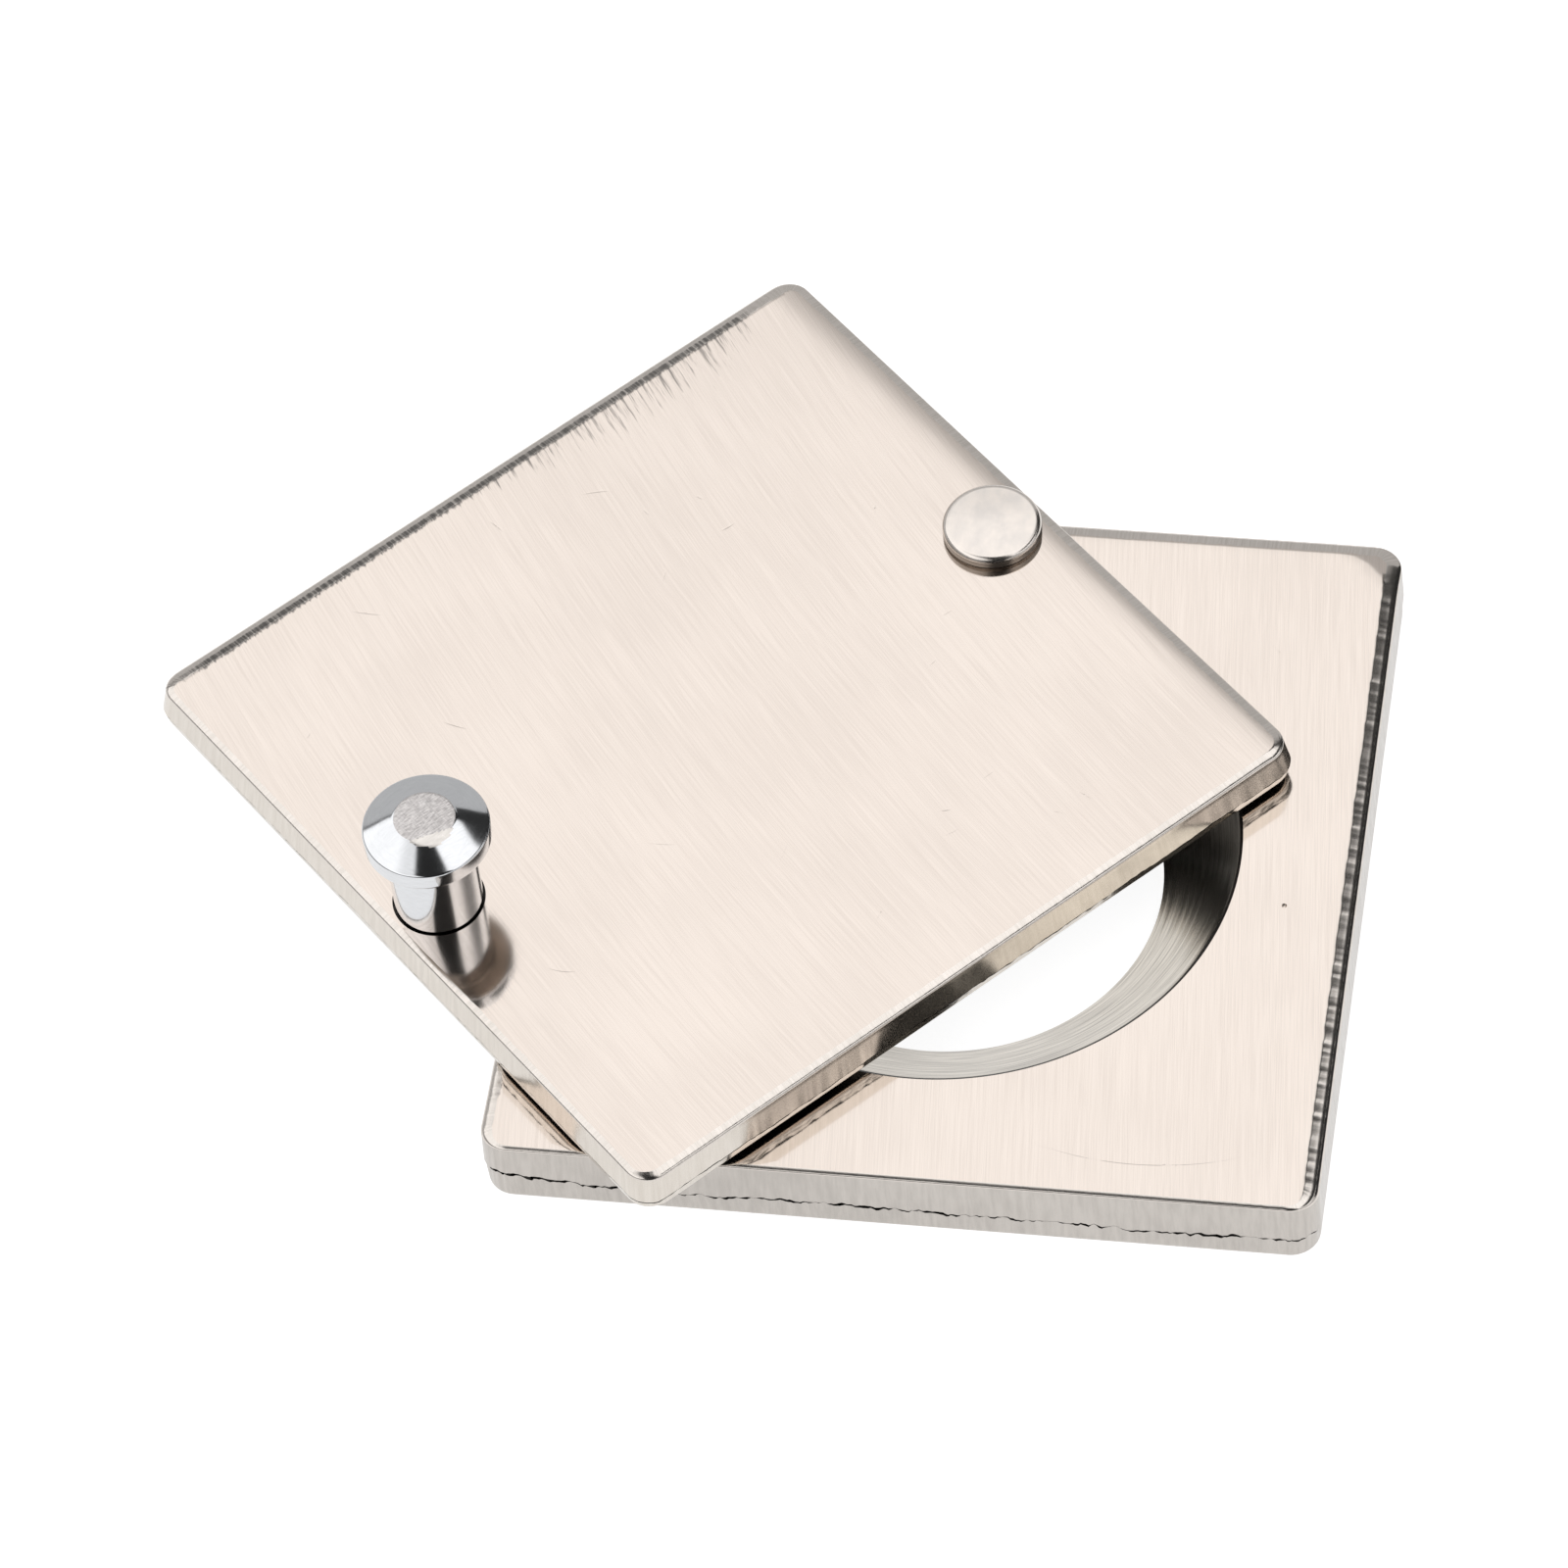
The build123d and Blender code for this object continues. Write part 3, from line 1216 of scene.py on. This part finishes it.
def make_floor():
    """A pale floor and dome that only the camera sees, and the table top that the metal
    mirrors but the camera doesn't see."""
    table_radius = 260
    floor_radius = 3400
    table_drop = 0.02
    table_white = pale_surface("table_white", 0.2, 0.82)
    floor_white = pale_surface("floor_white", 0.5, 0.9)
    dome_white = pale_surface("dome_white", 0.0, 1.0)
    table = make_disc("studio_table", (150, table_radius), table_white)
    table.location.z = -table_drop * MM
    table.visible_camera = False
    floor = make_disc("studio_floor", (table_radius, floor_radius), floor_white)
    dome = make_dome(floor_radius, dome_white)
    for far in (floor, dome):
        far.visible_diffuse = False
        far.visible_glossy = False
        far.visible_transmission = False
        far.visible_shadow = False


def make_camera():
    back = Vector((
        math.sin(view_azimuth) * math.cos(view_elevation),
        -math.cos(view_azimuth) * math.cos(view_elevation),
        math.sin(view_elevation),
    ))
    camera = bpy.data.objects.new("camera", bpy.data.cameras.new("camera"))
    camera.data.lens = lens
    camera.location = (view_target + back * view_distance) * MM
    level = (-back).to_track_quat("-Z", "Y").to_matrix()
    camera.rotation_euler = (Matrix.Rotation(view_roll, 3, -back) @ level).to_euler()
    camera.data.clip_start = 0.01
    bpy.context.scene.collection.objects.link(camera)
    bpy.context.scene.camera = camera
    bpy.context.scene.view_settings.view_transform = "Standard"


# ---------------------------------------------------------------- assembly


def attach(piece, body, node):
    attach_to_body(piece, body)
    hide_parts(node)


def make_pieces():
    faces = [tool_marked("brushed_nickel"), tool_marked("rolled_nickel")]
    # Near-black painted shade for the crack, the lip, the knob groove and the plates' backs
    painted_shade_metals = [tool_marked("painted_shade_nickel"), tool_marked("painted_shade_steel")]
    # The heads' undersides and the rivet's shank are darkened as painted shade.
    underside = tool_marked("painted_shade_underside")
    base_metals = faces + [tool_marked("sheared_nickel_painted_shade")] + painted_shade_metals + [tool_marked("turned_nickel")]
    cover_metals = faces + [tool_marked("burnished_nickel")] + painted_shade_metals
    rivet_metals = [tool_marked("peened_nickel"), underside]
    knob_metals = [
        tool_marked("polished_chrome"),
        tool_marked("ground_chrome"),
        tool_marked("faced_chrome"),
        underside,
    ]
    attach(make_base_plate(base_metals), "base", "base_plate")
    attach(make_cover_plate(cover_metals), "cover", "cover_plate")
    attach(make_rivet(rivet_metals), "base", "pivot_rivet")
    attach(make_washer([nylon()]), "base", "spacer_washer")
    attach(make_knob(knob_metals), "cover", "pull_knob")


make_world()
make_floor()
make_camera()
make_pieces()
